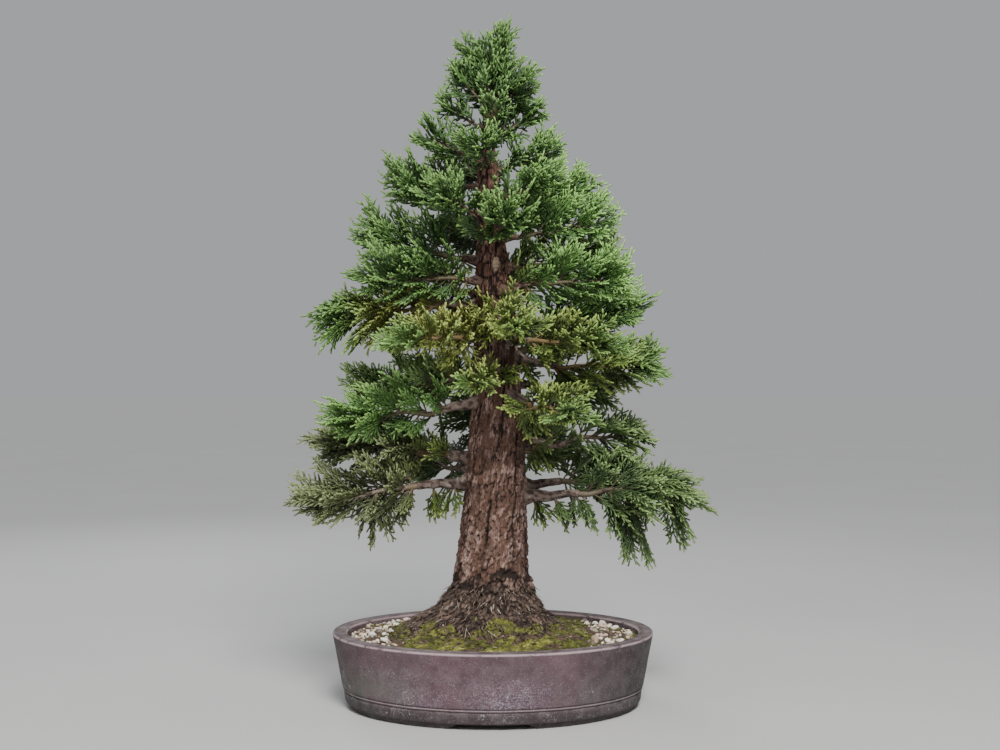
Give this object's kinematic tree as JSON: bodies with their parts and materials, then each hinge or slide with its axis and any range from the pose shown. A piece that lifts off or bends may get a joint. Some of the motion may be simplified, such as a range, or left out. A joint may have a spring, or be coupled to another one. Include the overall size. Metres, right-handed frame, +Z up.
{
  "type": "giant sequoia bonsai",
  "caption": "Formal upright giant sequoia bonsai with furrowed bark and tiered sprays of cord-like foliage, standing in an oval unglazed clay pot on low feet.",
  "frame": {"origin": "centre of the whole plant's bounding box, at the bottom of the pot's feet", "axes": "+Z up along the trunk, +X to the right and +Y to the back as the tree's front is seen; the pot's long axis is along X"},
  "size_m": [0.5334, 0.3828, 0.8492],
  "materials": {
    "pot_clay": "matt unglazed purple-brown stoneware",
    "screen_plastic": "black plastic mesh",
    "soil_mix": "damp soil with moss",
    "gravel_stone": "pale dusty pebbles",
    "trunk_bark": "fibrous red-brown bark",
    "foliage_green": "waxy mid-green scale leaves",
    "foliage_deep": "waxy blue-green scale leaves",
    "foliage_yellow": "waxy yellow-green scale leaves",
    "foliage_grey": "dusty grey-green scale leaves"
  },
  "bodies": {
    "root": {"pot": "pot_clay", "drain_screen_left": "screen_plastic", "drain_screen_right": "screen_plastic", "soil": "soil_mix", "gravel_left": "gravel_stone", "gravel_right": "gravel_stone", "trunk": "trunk_bark", "spray_apex": "foliage_green", "spray_left_1": "foliage_grey", "spray_left_2": "foliage_grey", "spray_left_3": "foliage_green", "spray_left_4": "foliage_deep", "spray_left_5": "foliage_yellow", "spray_left_6": "foliage_green", "spray_left_7": "foliage_green", "spray_left_8": "foliage_green", "spray_left_9": "foliage_deep", "spray_left_10": "foliage_green", "spray_left_11": "foliage_green", "spray_left_12": "foliage_green", "spray_right_1": "foliage_deep", "spray_right_2": "foliage_deep", "spray_right_3": "foliage_deep", "spray_right_4": "foliage_yellow", "spray_right_5": "foliage_deep", "spray_right_6": "foliage_green", "spray_right_7": "foliage_green", "spray_right_8": "foliage_deep", "spray_right_9": "foliage_green", "spray_right_10": "foliage_green", "spray_right_11": "foliage_green", "spray_right_12": "foliage_green", "spray_right_13": "foliage_green", "spray_front_1": "foliage_yellow", "spray_front_2": "foliage_yellow", "spray_front_3": "foliage_yellow", "spray_front_4": "foliage_yellow", "spray_front_5": "foliage_yellow", "spray_front_6": "foliage_green", "spray_front_7": "foliage_green", "spray_front_8": "foliage_green", "spray_front_9": "foliage_green", "spray_front_10": "foliage_green", "spray_front_11": "foliage_green", "spray_back_1": "foliage_deep", "spray_back_2": "foliage_deep", "spray_back_3": "foliage_deep", "spray_back_4": "foliage_deep", "spray_back_5": "foliage_deep", "spray_back_6": "foliage_deep", "spray_back_7": "foliage_deep", "spray_back_8": "foliage_deep", "spray_back_9": "foliage_deep", "spray_back_10": "foliage_deep", "spray_back_11": "foliage_deep", "spray_back_12": "foliage_green", "spray_back_13": "foliage_green"}
  },
  "joints": []
}
